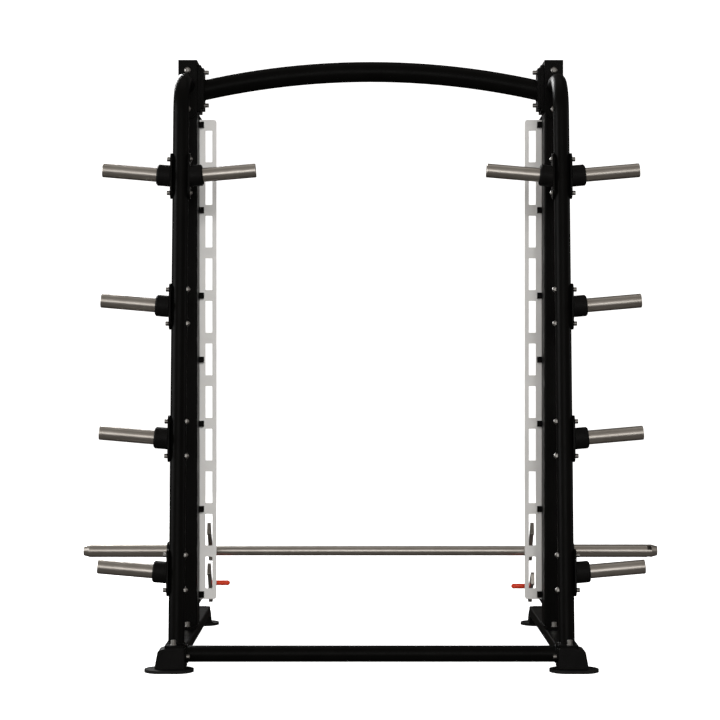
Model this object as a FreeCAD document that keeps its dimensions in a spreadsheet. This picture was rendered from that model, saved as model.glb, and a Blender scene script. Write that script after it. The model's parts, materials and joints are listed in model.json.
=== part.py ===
"""Smith machine: a bar on two guide rods, latched into slotted plates, with plate storage.

Frame: +X to the right, +Y towards the lifter, +Z up. The origin lies on the floor, at the
middle of the machine's box. Sizes are millimetres. Every piece is built for the right side
(X > 0) and mirrored in the YZ plane, except what crosses the middle, the sleeves and the
safety stops, whose two sides stand at different angles.
"""
import FreeCAD, Part
import Sketcher
import os
import re

from FreeCAD import Placement, Rotation, Vector

SIZES = [
    # side frame
    ("post_x", 682, "middle plane of a side frame"),
    ("tube_wall", 3, "wall of every steel tube"),
    ("rail_width", 70, "base rail, across"),
    ("rail_height", 40, "base rail, upright"),
    ("rail_bottom", 38, "underside of the base rails"),
    ("rail_front", 600, "front end of the base rails, from the middle"),
    ("rail_back", 570, "back end of the base rails, from the middle"),
    ("rail_corner", 5, "corner radius of the base rails"),
    ("weld_nut", 10, "weld nut behind a wall, radius and height"),
    ("upright_x", 680, "middle of the uprights, across"),
    ("upright_width", 69, "upright, across"),
    ("upright_depth", 120, "upright, front to back"),
    ("upright_y", -38.5, "middle of the uprights, front to back"),
    ("upright_top", 2187, "top of the uprights, under their caps"),
    ("upright_corner", 7, "corner radius of the uprights"),
    ("upright_bolt_x", 680, "base bolts of an upright, across"),
    ("upright_bolt_reach", 72, "base bolts of an upright, before and behind it"),
    ("upright_flange_length", 168, "base flange of an upright, front to back"),
    ("cap_thick", 4, "upright caps"),
    ("cap_plug", 16, "depth of a cap's plug"),
    ("flange_thick", 10, "base flanges of uprights and brace tubes"),
    ("flange_corner", 6, "corner radius of flanges and plates"),
    # feet
    ("pad_length", 171, "foot pad, across"),
    ("pad_width", 120, "foot pad, front to back"),
    ("pad_thick", 10, "foot pad, at its rim"),
    ("pad_rim", 8, "width of the foot pad's rim"),
    ("pad_floor", 5, "foot pad, inside its rim"),
    ("pad_x", 700, "middle of the foot pads, across"),
    ("pad_y", 601.5, "middle of the foot pads, front and back"),
    ("boot_plate", 4, "base plate of a boot"),
    ("boot_wall", 6, "end wall of a front boot"),
    ("boot_inner", 644.5, "inner side of a front boot"),
    ("boot_outer", 752, "outer side of a front boot at its foot"),
    ("boot_shoulder", 740, "outer side of a front boot at its top"),
    ("boot_top", 81, "top of a front boot"),
    ("boot_depth", 86, "front boot, front to back"),
    ("boot_round", 15, "rounding of a boot's outer upper corner"),
    ("boot_edge", 4, "rounding of a boot's outer edges"),
    ("hood_top", 82, "top of a rear boot"),
    ("hood_front", 545, "front of a rear boot"),
    ("hood_back", 618, "back of a rear boot at its foot"),
    # cross tube
    ("cross_radius", 28.5, "base cross tube"),
    ("cross_y", -550, "base cross tube, front to back"),
    ("cross_z", 54, "base cross tube, height"),
    ("cross_flange", 6, "end flange of the cross tube"),
    ("cross_flange_length", 96, "end flange of the cross tube, front to back"),
    ("cross_flange_height", 39, "end flange of the cross tube, upright"),
    ("cross_flange_z", 58, "middle height of the cross tube's end flange"),
    ("cross_bolt_z", 48.5, "height of the cross tube's bolts"),
    ("cross_bolt_reach", 37, "cross tube's bolts, from its axis"),
    ("cross_bolt_head", 11, "head of a cross tube bolt"),
    # brace tubes
    ("brace_radius", 28.5, "leaning brace tube"),
    ("brace_lean", 5.535, "lean of the brace tube, degrees"),
    ("brace_mid_y", -429.5, "brace tube's axis at its middle height"),
    ("brace_mid_z", 1110, "brace tube's middle height"),
    ("brace_top_z", 2096, "brace tube's horizontal top"),
    ("brace_bend", 145, "bend radius at the brace tube's top"),
    ("brace_flange_length", 132, "base flange of a brace tube, front to back"),
    ("brace_flange_y", -532, "middle of a brace tube's base flange"),
    ("brace_bolt_x", 688, "base bolts of a brace tube, across"),
    ("brace_bolt_reach", 45, "base bolts of a brace tube, before and behind its middle"),
    ("brace_plate", 8, "plate at the brace tube's top end"),
    ("brace_bolt_high", 2152.5, "brace plate's upper bolt"),
    ("brace_bolt_low", 2008.5, "brace plate's lower bolt, and the centre of its round end"),
    # arch
    ("arch_radius", 37.5, "arched crossmember's tube"),
    ("arch_curve", 2870, "radius of the arch's axis"),
    ("arch_crest", 2156, "height of the arch's axis at the middle"),
    ("arch_half_angle", 14, "half of the arch's sweep before its ends are cut, degrees"),
    ("arch_end_x", 622.5, "inner face of the arch's end flanges"),
    ("arch_flange", 11, "end flange of the arch"),
    ("arch_plate", 12, "mount plate on the upright"),
    ("arch_end_z", 2088, "middle height of the arch's flanges"),
    ("arch_flange_height", 154, "end flange of the arch, upright"),
    ("arch_flange_width", 90, "end flange of the arch, front to back"),
    ("arch_plate_height", 176, "mount plate, upright"),
    ("arch_plate_width", 100, "mount plate, front to back"),
    ("arch_bolt_z", 2092, "middle height of the arch bolts"),
    ("arch_bolt_reach", 61.5, "arch bolts, above and below their middle"),
    # latch plates
    ("plate_thick", 6, "latch plate"),
    ("plate_inner", 582.5, "latch plate's inner edge"),
    ("plate_outer", 664, "latch plate's outer edge"),
    ("plate_bottom", 174, "latch plate's lower end"),
    ("plate_top", 1984, "latch plate's upper end"),
    ("plate_corner", 10, "latch plate's corner radius"),
    ("slot_x", 611, "middle of the latch slots"),
    ("slot_width", 26, "latch slot, across"),
    ("slot_height", 119.5, "latch slot, upright"),
    ("slot_corner", 2, "corner radius of a latch slot"),
    ("slot_pitch", 161, "latch slot to latch slot"),
    ("slot_first", 214.5, "bottom of the lowest latch slot"),
    ("lug_inner", 628.5, "free end of the lugs that carry a latch plate"),
    ("lug_height", 22, "lug, upright"),
    ("lug_thick", 20, "lug, front to back"),
    ("lug_first", 193, "middle height of the lowest lug"),
    ("lug_screw_x", 636.5, "lug screws, across"),
    # guide rods
    ("rod_radius", 15, "guide rod"),
    ("rod_y", 82, "guide rod, front to back"),
    ("rod_bottom", 112, "lower end of the guide rods"),
    ("rod_top", 2050, "upper end of the guide rods"),
    ("bracket_plate", 8, "bracket plate of a guide rod, behind the latch plate"),
    ("bracket_inner", 636, "inner edge of a rod bracket"),
    ("bracket_outer", 712, "outer edge of a rod bracket"),
    ("bracket_drop", 56, "reach of a bracket past the latch plate's end"),
    ("bracket_lap", 7, "how far a bracket laps over the latch plate"),
    ("bracket_taper", 25, "taper of a bracket's inner edge, across"),
    ("clamp_radius", 27, "rod clamp of a bracket"),
    ("clamp_height", 32, "rod clamp of a bracket, upright"),
    ("arm_width", 36, "arm of a bracket, across"),
    # plate storage
    ("peg_radius", 25, "weight peg"),
    ("peg_root", 24.5, "weight peg inside its boss"),
    ("peg_wall", 4, "wall of a weight peg"),
    ("peg_tilt", 5, "upward tilt of the pegs, degrees"),
    ("peg_reach", 243, "outer weight peg, beyond its plate"),
    ("inner_peg_reach", 235, "inner weight peg, beyond its plate"),
    ("peg_edge", 1.5, "bevel of a peg's end"),
    ("peg_level_low", 331.5, "height of the lowest pegs at their plates"),
    ("peg_pitch", 467.8, "peg to peg, upright"),
    ("boss_radius", 38.2, "boss round a peg's root"),
    ("boss_reach", 48, "boss, beyond an outer plate"),
    ("inner_boss_reach", 45, "boss, beyond an inner plate"),
    ("boss_bevel", 5, "bevel of a boss's end"),
    ("peg_plate_thick", 7, "peg mount plate"),
    ("peg_plate_height", 165, "peg mount plate, along the brace"),
    ("peg_plate_width", 58, "peg mount plate, across the brace"),
    ("peg_bolt_reach", 61, "peg bolts, from the peg, along the brace"),
    ("nut_seat", 22.5, "nut seat inside the brace, from its axis"),
    ("nut_seat_top", 27.4, "nut seat at the top level, from the brace's axis"),
    ("nut_pocket", 13.5, "radius of the pocket round a nut"),
    ("crush_sleeve", 12, "sleeve round a peg bolt inside the brace"),
    ("plug_thick", 6, "peg end plug"),
    ("plug_recess", 2, "depth of a plug below the peg's end"),
    # fasteners
    ("ten_shank", 5, "10 mm bolt, shank radius"),
    ("ten_head", 8, "10 mm bolt, head radius"),
    ("ten_head_height", 13, "10 mm bolt, head height"),
    ("ten_key", 4.6, "10 mm bolt, socket's corner radius"),
    ("arch_head_height", 16, "arch bolt with its washer, head height"),
    ("twelve_shank", 6, "12 mm bolt, shank radius"),
    ("twelve_head", 9.5, "12 mm bolt, head radius"),
    ("twelve_head_height", 17.5, "12 mm bolt, head height"),
    ("twelve_key", 5.7, "12 mm bolt, socket's corner radius"),
    ("twelve_washer", 11, "12 mm bolt, washer face radius"),
    ("washer_height", 2.5, "12 mm bolt, washer face height"),
    ("button_head", 12, "button head bolt, head radius"),
    ("button_height", 7.5, "button head bolt, head height"),
    ("key_depth", 6, "depth of a bolt's socket"),
    ("nut_corner", 10.8, "dome nut, corner radius"),
    ("nut_height", 9, "dome nut, height of its hexagon"),
    ("nut_length", 16.5, "dome nut, height over its dome"),
    ("nut_dome", 8, "dome nut, dome radius"),
    ("screw_head", 6.5, "lug screw, head radius"),
    ("screw_head_height", 4, "lug screw, head height"),
    ("screw_shank", 3.5, "lug screw, shank radius"),
    ("hole_gap", 0.5, "radial clearance of bolt holes"),
    # bar
    ("bar_y", 143.5, "bar's axis, front to back"),
    ("bar_z", 344.5, "bar's axis, at its lowest"),
    ("bar_half", 1100, "half of the bar's length"),
    ("grip_radius", 18.5, "bar's grip"),
    ("journal_radius", 15, "bar inside its sleeves"),
    ("running_gap", 0.05, "radial clearance of every running fit"),
    ("shoulder_x", 728, "outer end of the bar's thick part"),
    ("journal_end", 1056, "end of the bar inside a sleeve"),
    ("hook_inner", 606, "inner face of the latch hooks"),
    ("hook_thick", 13, "latch hook"),
    ("hub_radius", 21, "hub of a bar hook"),
    ("hub_end", 651.5, "outer end of a bar hook's hub"),
    ("heel_radius", 38, "round heel of a bar hook"),
    ("stop_heel_radius", 35, "round heel of a stop hook"),
    ("latch_throw", 27, "turn of the bar between free and latched, degrees"),
    ("stop_turn_right", 13.5, "turn of the right stop hook back from latched, degrees"),
    ("stop_turn_left", 31.5, "turn of the left stop hook back from latched, degrees"),
    ("collar_radius", 30, "clamp collar outside a carriage"),
    ("collar_start", 712.5, "inner face of the clamp collar"),
    # sleeves
    ("sleeve_start", 729, "inner end of a sleeve"),
    ("sleeve_hub", 30, "sleeve's inner hub"),
    ("stop_flange", 36, "radius of a sleeve's stop flange"),
    ("stop_flange_x", 780, "outer face of the stop flange"),
    ("stop_flange_thick", 14, "stop flange"),
    ("sleeve_radius", 24.5, "sleeve"),
    ("sleeve_bore", 19, "bore of a sleeve"),
    ("bevel_start", 1077, "start of a sleeve's bevelled end"),
    ("bevel_tip", 18, "radius of a sleeve's tip"),
    ("sleeve_wall_x", 1088, "closed end of a sleeve's bore"),
    ("window_start", 1061, "inner side of the windows near a sleeve's end"),
    ("window_length", 16, "window, along the sleeve"),
    ("window_width", 17, "window, round the sleeve"),
    ("bush_length", 30, "sleeve bush"),
    ("inner_bush_x", 731, "inner face of the inner sleeve bush"),
    ("outer_bush_x", 1018, "inner face of the outer sleeve bush"),
    ("retainer_thick", 4, "ring that keeps a sleeve on"),
    ("retainer_radius", 18, "ring that keeps a sleeve on, radius"),
    ("end_float", 0.5, "end clearance of every running fit"),
    # carriages
    ("block_inner", 652, "inner face of carriages and stop blocks"),
    ("block_width", 60, "carriages and stop blocks, across"),
    ("block_depth", 60, "carriages and stop blocks round the rod, front to back"),
    ("block_corner", 5, "corner radius of the blocks"),
    ("carriage_bottom", 284.5, "underside of a carriage"),
    ("carriage_height", 122, "carriage, upright"),
    ("saddle_radius", 38, "bearing housing of a carriage"),
    ("bearing_radius", 30, "bar bearing"),
    ("bearing_length", 44, "bar bearing"),
    ("linear_radius", 22.5, "linear bush"),
    ("linear_length", 42, "linear bush"),
    # safety stops
    ("stop_z", 183, "pivot of a safety stop"),
    ("stop_bottom", 160, "underside of a stop block"),
    ("stop_top", 262, "top of a stop block"),
    ("lobe_radius", 25, "pivot lobe of a stop block"),
    ("lobe_width", 48, "pivot lobe, across"),
    ("pin_radius", 10, "pivot pin in the stop hook"),
    ("pin_shoulder", 16, "pivot pin's shoulder"),
    ("pin_root", 12, "pivot pin in its block"),
    ("pin_head", 15, "pivot pin's head"),
    ("pin_head_height", 6, "pivot pin's head, across"),
    ("side_gap", 1, "gap beside a stop hook"),
    ("bumper_radius", 27, "rubber bumper"),
    ("bumper_height", 22, "rubber bumper"),
    ("handle_radius", 9.5, "handle of a stop hook"),
    ("handle_length", 69, "handle of a stop hook"),
    ("handle_edge", 8, "rounding of a handle's free end"),
    ("handle_y", -48, "handle, from the pivot of a latched hook"),
    ("handle_z", 20, "handle, above the pivot of a latched hook"),
    ("handle_lug", 13, "handle lug of a stop hook"),
    ("stud_radius", 4, "stud inside the handle"),
    ("stud_length", 50, "stud inside the handle"),
]

# Latch hook in its latched position, seen along X: distances from its pivot, corner rounding.
HOOK_OUTLINE = [
    (-136.5, 14, 4),
    (-126.5, 14, 2),
    (-126.5, 34.5, 0),
    (-113, 34.5, 0),
    (-113, 25, 0),
    (-28, -10, 0),
    (-14, 10, 0),
    (-22, 20, 0),
    (-132, 63, 5),
    (-140.5, 57, 5),
    (-139, 40, 0),
]
LUG_STEPS = [0, 2, 4, 5.5, 7, 9, 11]
SLOT_COUNT = 11
PEG_LEVELS = 4
RIGHT_WINDOWS = [34, -86]
LEFT_WINDOWS = [120, 240]
AXIS_X = Vector(1, 0, 0)
AXIS_Y = Vector(0, 1, 0)
AXIS_Z = Vector(0, 0, 1)
RAIL_TOP = "rail_bottom + rail_height"
FLANGE_TOP = "rail_bottom + rail_height + flange_thick"
PLATE_FRONT = "upright_y + upright_depth / 2"
PLATE_BACK = "upright_y + upright_depth / 2 + plate_thick"
UPRIGHT_FRONT = "upright_y - upright_depth / 2"
UPRIGHT_INNER = "upright_x - upright_width / 2"
BEND_Z = "brace_top_z - brace_bend"
BEND_START_Z = "(brace_top_z - brace_bend + brace_bend * sin(brace_lean))"

doc = FreeCAD.newDocument("SmithMachine")
sheet = doc.addObject("Spreadsheet::Sheet", "Sizes")
for row, (alias, value, meaning) in enumerate(SIZES, start=1):
    sheet.set(f"A{row}", meaning)
    sheet.set(f"B{row}", str(value))
    sheet.setAlias(f"B{row}", alias)
doc.recompute()
ALIASES = re.compile(r"\b(" + "|".join(alias for alias, _, _ in SIZES) + r")\b")
nodes = []


def in_sheet(expression):
    """An expression with every dimension's name pointed at the sheet."""
    return ALIASES.sub(r"Sizes.\1", str(expression))


def number(expression):
    """The present value of an expression."""
    return float(sheet.evalExpression(in_sheet(expression)))


def bind(piece, prop, expression):
    piece.setExpression(prop, in_sheet(expression))


def place(piece, base, rotation=None):
    """Puts a piece at a point given by three expressions."""
    if rotation is not None:
        piece.Placement = Placement(Vector(), rotation)
    for axis, expression in zip("xyz", base):
        bind(piece, f"Placement.Base.{axis}", expression)
    return piece


def facing(direction):
    return Rotation(AXIS_Z, direction)


def brace_y(height):
    """Expression for the brace tube's axis, front to back, at a height."""
    return f"(brace_mid_y + tan(brace_lean) * ({height} - brace_mid_z))"


def box(name, low, size):
    piece = doc.addObject("Part::Box", name)
    for prop, expression in zip(("Length", "Width", "Height"), size):
        bind(piece, prop, expression)
    return place(piece, low)


def cylinder(name, radius, length, base, direction=AXIS_Z):
    piece = doc.addObject("Part::Cylinder", name)
    bind(piece, "Radius", radius)
    bind(piece, "Height", length)
    return place(piece, base, facing(direction))


def cone(name, radius, tip, length, base, direction=AXIS_Z):
    piece = doc.addObject("Part::Cone", name)
    bind(piece, "Radius1", radius)
    bind(piece, "Radius2", tip)
    bind(piece, "Height", length)
    return place(piece, base, facing(direction))


def sphere(name, radius, base):
    piece = doc.addObject("Part::Sphere", name)
    bind(piece, "Radius", radius)
    return place(piece, base)


def hexagon(name, corner, length, base, direction):
    piece = doc.addObject("Part::Prism", name)
    piece.Polygon = 6
    bind(piece, "Circumradius", corner)
    bind(piece, "Height", length)
    return place(piece, base, facing(direction))


def fuse(name, *pieces):
    piece = doc.addObject("Part::MultiFuse", name)
    piece.Shapes = list(pieces)
    return piece


def common(name, *pieces):
    piece = doc.addObject("Part::MultiCommon", name)
    piece.Shapes = list(pieces)
    return piece


def cut(name, base, *tools):
    piece = doc.addObject("Part::Cut", name)
    piece.Base = base
    piece.Tool = tools[0] if len(tools) == 1 else fuse(f"{name}_tools", *tools)
    return piece


def group(name, *pieces):
    piece = doc.addObject("Part::Compound", name)
    piece.Links = list(pieces)
    return piece


def moved(name, piece, base=("0", "0", "0"), turn=0, axis=AXIS_X):
    """A piece turned by an expression of degrees about an axis, then put at a point."""
    return place(group(name, piece), base, Rotation(axis, number(turn)))


def mirrored(piece, name=None):
    mirror = doc.addObject("Part::Mirroring", name or f"{piece.Name}_mirror")
    mirror.Source = piece
    mirror.Normal = AXIS_X
    return mirror


def turned(name, stations):
    """A round piece along X, through stations of distance and radius."""
    slices = []
    for count, ((near, radius), (far, far_radius)) in enumerate(zip(stations, stations[1:])):
        if near == far:
            continue
        base = (near, "0", "0")
        length = f"{far} - ({near})"
        if radius == far_radius:
            slices.append(cylinder(f"{name}_{count}", radius, length, base, AXIS_X))
        else:
            slices.append(cone(f"{name}_{count}", radius, far_radius, length, base, AXIS_X))
    return slices[0] if len(slices) == 1 else fuse(name, *slices)


def ring(name, radius, bore, start, length):
    """A ring round the X axis."""
    outside = cylinder(f"{name}_outside", radius, length, (start, "0", "0"), AXIS_X)
    inside = cylinder(f"{name}_inside", bore, length, (start, "0", "0"), AXIS_X)
    return cut(name, outside, inside)


def parallel(edge, axis):
    return isinstance(edge.Curve, Part.Line) and abs(edge.tangentAt(edge.FirstParameter).dot(axis)) > 0.999


def round_off(body, radius, chosen):
    """Rounds those edges of a body for which chosen says yes."""
    blank = body.Tip
    names = [f"Edge{count}" for count, edge in enumerate(blank.Shape.Edges, start=1) if chosen(edge)]
    rounding = body.newObject("PartDesign::Fillet", f"{body.Name}_rounding")
    rounding.Base = (blank, names)
    bind(rounding, "Radius", radius)
    body.Tip = rounding
    doc.recompute()


def rounded_box(name, low, size, axis, corner):
    """A box whose four edges along one axis are rounded."""
    body = doc.addObject("PartDesign::Body", name)
    blank = body.newObject("PartDesign::AdditiveBox", f"{name}_blank")
    for prop, expression in zip(("Length", "Width", "Height"), size):
        bind(blank, prop, expression)
    body.Tip = blank
    doc.recompute()
    round_off(body, corner, lambda edge: parallel(edge, axis))
    return place(body, low)


def outline_plate(name, plane, corners, thickness, base):
    """A plate padded from an outline of corners: two expressions and a rounding radius each.

    The YZ plane pads towards +X, the XZ plane towards -Y.
    """
    body = doc.addObject("PartDesign::Body", name)
    sketch = body.newObject("Sketcher::SketchObject", f"{name}_outline")
    sketch.AttachmentSupport = [(next(f for f in body.Origin.OriginFeatures if f.Role == plane), "")]
    sketch.MapMode = "FlatFace"
    spots = [Vector(number(across), number(up), 0) for across, up, _ in corners]
    for start, end in zip(spots, spots[1:] + spots[:1]):
        sketch.addGeometry(Part.LineSegment(start, end), False)
    last = len(corners) - 1
    for count, (across, up, _) in enumerate(corners):
        sketch.addConstraint(Sketcher.Constraint("Coincident", count, 2, 0 if count == last else count + 1, 1))
        for kind, expression, value in (("DistanceX", across, spots[count].x), ("DistanceY", up, spots[count].y)):
            index = sketch.addConstraint(Sketcher.Constraint(kind, -1, 1, count, 1, value))
            bind(sketch, f"Constraints[{index}]", expression)
    pad = body.newObject("PartDesign::Pad", f"{name}_pad")
    pad.Profile = sketch
    bind(pad, "Length", thickness)
    body.Tip = pad
    doc.recompute()
    normal = sketch.Placement.Rotation.multVec(AXIS_Z)
    for spot, (_, _, radius) in zip(spots, corners):
        if radius:
            point = sketch.Placement.multVec(spot)
            round_off(body, radius, lambda edge: parallel(edge, normal)
                      and (edge.Vertexes[0].Point - point).cross(normal).Length < 0.01)
    return place(body, base)


def node(name, piece):
    """Marks a piece as a sub-part, under its own label."""
    piece.Label = name
    nodes.append((name, piece))
    return piece


def node_pair(name, piece):
    """A sub-part on the right, and its mirror image on the left."""
    node(f"{name}_right", piece)
    node(f"{name}_left", mirrored(piece))


def node_group(name, *pieces):
    """One sub-part made of several solids and their mirror images."""
    return node(name, group(f"{name}_group", *pieces, *[mirrored(piece) for piece in pieces]))


def socket_bolt(name, size, length, head_height, washer=False):
    """A socket head bolt along X: the head starts at 0 and the shank runs back from there."""
    head_stations = [
        ("0", f"{size}_head"),
        (f"{head_height} - 1", f"{size}_head"),
        (head_height, f"{size}_head - 1"),
    ]
    if washer:
        head_stations = [("0", f"{size}_washer"), ("washer_height", f"{size}_washer"),
                         ("washer_height", f"{size}_head")] + head_stations[1:]
    blank = turned(f"{name}_head", [(f"-({length})", f"{size}_shank"), ("0", f"{size}_shank")] + head_stations)
    key = hexagon(f"{name}_key", f"{size}_key", "key_depth + 1", (f"{head_height} - key_depth", "0", "0"), AXIS_X)
    return cut(name, blank, key)


def button_bolt(name, length):
    """A button head bolt along X, like socket_bolt."""
    blank = turned(name, [
        (f"-({length})", "ten_shank"),
        ("0", "ten_shank"),
        ("0", "button_head"),
        ("button_height * 0.35", "button_head"),
        ("button_height * 0.75", "button_head * 0.8"),
        ("button_height", "button_head * 0.5"),
    ])
    key = hexagon(f"{name}_key", "ten_key", "5", ("button_height - 4", "0", "0"), AXIS_X)
    return cut(f"{name}_cut", blank, key)


def build_rails():
    """Base rails and the cross tube between them. Returns the bolts that stand in the rails."""
    low = ("post_x - rail_width / 2", "-rail_front", "rail_bottom")
    blank = rounded_box("rail_blank", low, ("rail_width", "rail_front + rail_back", "rail_height"),
                        AXIS_Y, "rail_corner")
    bore = box("rail_bore", ("post_x - rail_width / 2 + tube_wall", "-rail_front", "rail_bottom + tube_wall"),
               ("rail_width - 2 * tube_wall", "rail_front + rail_back", "rail_height - 2 * tube_wall"))
    spots = [
        ("brace_bolt_x", "brace_flange_y - brace_bolt_reach"),
        ("brace_bolt_x", "brace_flange_y + brace_bolt_reach"),
        ("upright_bolt_x", "upright_y - upright_bolt_reach"),
        ("upright_bolt_x", "upright_y + upright_bolt_reach"),
    ]
    side_spots = ["cross_y - cross_bolt_reach", "cross_y + cross_bolt_reach"]
    bolt = socket_bolt("base_bolt", "twelve", "flange_thick + tube_wall + weld_nut", "twelve_head_height", True)
    side_bolt = socket_bolt("side_bolt", "ten", "cross_flange + tube_wall + weld_nut", "cross_bolt_head")
    nuts = []
    holes = []
    bolts = []
    for count, (across, along) in enumerate(spots):
        nuts.append(cylinder(f"rail_nut_{count}", "weld_nut", "weld_nut",
                             (across, along, f"{RAIL_TOP} - tube_wall - weld_nut")))
        holes.append(cylinder(f"rail_hole_{count}", "twelve_shank", "weld_nut + tube_wall + 2",
                              (across, along, f"{RAIL_TOP} - tube_wall - weld_nut - 1")))
        bolts.append(moved(f"base_bolt_{count}", bolt, (across, along, FLANGE_TOP), -90, AXIS_Y))
    for count, along in enumerate(side_spots):
        nuts.append(cylinder(f"side_nut_{count}", "weld_nut", "weld_nut",
                             ("post_x - rail_width / 2 + tube_wall", along, "cross_bolt_z"), AXIS_X))
        holes.append(cylinder(f"side_hole_{count}", "ten_shank", "weld_nut + tube_wall + 2",
                              ("post_x - rail_width / 2 - 1", along, "cross_bolt_z"), AXIS_X))
        bolts.append(moved(f"side_bolt_{count}", side_bolt,
                           ("post_x - rail_width / 2 - cross_flange", along, "cross_bolt_z"), 180, AXIS_Z))
    rail = fuse("rail_with_nuts", cut("rail_tube", blank, bore), *nuts)
    node_pair("base_rail", cut("rail_drilled", rail, *holes))

    inner = "(post_x - rail_width / 2)"
    flange = rounded_box("cross_flange_end",
                         (f"{inner} - cross_flange", "cross_y - cross_flange_length / 2",
                          "cross_flange_z - cross_flange_height / 2"),
                         ("cross_flange", "cross_flange_length", "cross_flange_height"), AXIS_X, "flange_corner")
    outside = cylinder("cross_outside", "cross_radius", f"2 * {inner} - cross_flange",
                       (f"cross_flange / 2 - {inner}", "cross_y", "cross_z"), AXIS_X)
    inside = cylinder("cross_inside", "cross_radius - tube_wall", f"2 * {inner}",
                      (f"-{inner}", "cross_y", "cross_z"), AXIS_X)
    holes = [cylinder(f"cross_hole_{count}", "ten_shank + hole_gap", "cross_flange",
                      (f"{inner} - cross_flange", along, "cross_bolt_z"), AXIS_X)
             for count, along in enumerate(side_spots)]
    blank = fuse("cross_blank", outside, flange, mirrored(flange))
    node("front_cross_tube", cut("cross_drilled", blank, inside, *holes, *[mirrored(hole) for hole in holes]))
    return bolts


def stadium(name, centre_y, inset, low, height):
    """A plate with round ends, inset from a foot pad's outline."""
    straight = box(f"{name}_straight",
                   ("pad_x - pad_length / 2 + pad_width / 2", f"{centre_y} - pad_width / 2 + {inset}", low),
                   ("pad_length - pad_width", f"pad_width - 2 * ({inset})", height))
    ends = [cylinder(f"{name}_end_{side}", f"pad_width / 2 - ({inset})", height,
                     (f"pad_x {side} (pad_length - pad_width) / 2", centre_y, low)) for side in "+-"]
    return fuse(name, straight, *ends)


def build_feet():
    """Rubber pads and the moulded boots over the rails' ends."""
    pads = []
    for place_name, centre_y in (("front", "-pad_y"), ("rear", "pad_y")):
        tray = stadium(f"tray_{place_name}", centre_y, "0", "0", "pad_thick")
        recess = stadium(f"recess_{place_name}", centre_y, "pad_rim", "pad_floor", "pad_thick")
        pads.append(cut(f"pad_{place_name}", tray, recess))
    node_group("foot_pads", *pads)
    sole = "(pad_floor + boot_plate)"

    front = outline_plate("front_boot_block", "XZ_Plane", [
        ("boot_inner", sole, 0),
        ("boot_outer", sole, 0),
        ("boot_outer - 2", f"{sole} + 9", 0),
        ("boot_shoulder", "boot_top - 9", "boot_round"),
        ("post_x + 18", "boot_top", 0),
        ("boot_inner + 4", "boot_top", "boot_round / 2"),
    ], "boot_depth", ("0", "boot_depth - rail_front - boot_wall", "0"))
    front_wall_y = number("-boot_depth")
    round_off(front, "boot_edge", lambda edge: all(abs(v.Y - front_wall_y) < 0.01 and v.Z > number(sole) + 0.01
                                                   for v in edge.Vertexes))
    pocket = box("front_pocket", ("boot_inner - 1", "-rail_front", "rail_bottom"),
                 ("post_x + rail_width / 2 - boot_inner + 1", "boot_depth", "60"))
    notch = box("front_notch", ("boot_inner - 1", "-rail_front - boot_wall - 1", "rail_bottom"),
                ("post_x - rail_width / 2 - boot_inner + 1", "boot_depth + boot_wall", "rail_height"))
    tube_gap = cylinder("front_tube_gap", "cross_radius + hole_gap", "12",
                        ("post_x - rail_width / 2 - 9", "cross_y", "cross_z"), AXIS_X)
    plate = stadium("front_boot_plate", "-pad_y", "pad_rim + hole_gap", "pad_floor", "boot_plate")
    node_pair("foot_boot_front", cut("front_boot_open", fuse("front_boot_blank", front, plate),
                                     pocket, notch, tube_gap, pads[0]))

    across = outline_plate("rear_boot_across", "XZ_Plane", [
        ("boot_inner", sole, 0),
        ("boot_outer", sole, 0),
        ("boot_outer - 2", f"{sole} + 9", 0),
        ("boot_shoulder", "hood_top - 9", "boot_round"),
        ("post_x + 18", "hood_top", 0),
        ("boot_inner + 6", "hood_top", "boot_round"),
    ], "hood_back - hood_front", ("0", "hood_back", "0"))
    along = outline_plate("rear_boot_along", "YZ_Plane", [
        ("hood_front", sole, 0),
        ("hood_back", sole, 0),
        ("hood_back - 6", "50", "boot_round"),
        ("hood_back - 58", "hood_top - 5", "boot_round"),
        ("hood_front", "hood_top", 0),
    ], "boot_outer - boot_inner", ("boot_inner", "0", "0"))
    pocket = box("rear_pocket", ("post_x - rail_width / 2", "hood_front - 1", "rail_bottom"),
                 ("rail_width", "rail_back - hood_front + 1", "rail_height"))
    plate = stadium("rear_boot_plate", "pad_y", "pad_rim + hole_gap", "pad_floor", "boot_plate")
    hood = common("rear_boot_hood", across, along)
    node_pair("foot_boot_rear", cut("rear_boot_open", fuse("rear_boot_blank", hood, plate), pocket, pads[1]))


def at_level(name, piece, count):
    """A piece of the peg sets carried from the brace tube's own frame to a peg level."""
    height = f"(peg_level_low + {count} * peg_pitch)"
    return moved(name, piece, ("post_x", brace_y(height), height), "-brace_lean", AXIS_X)


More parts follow.
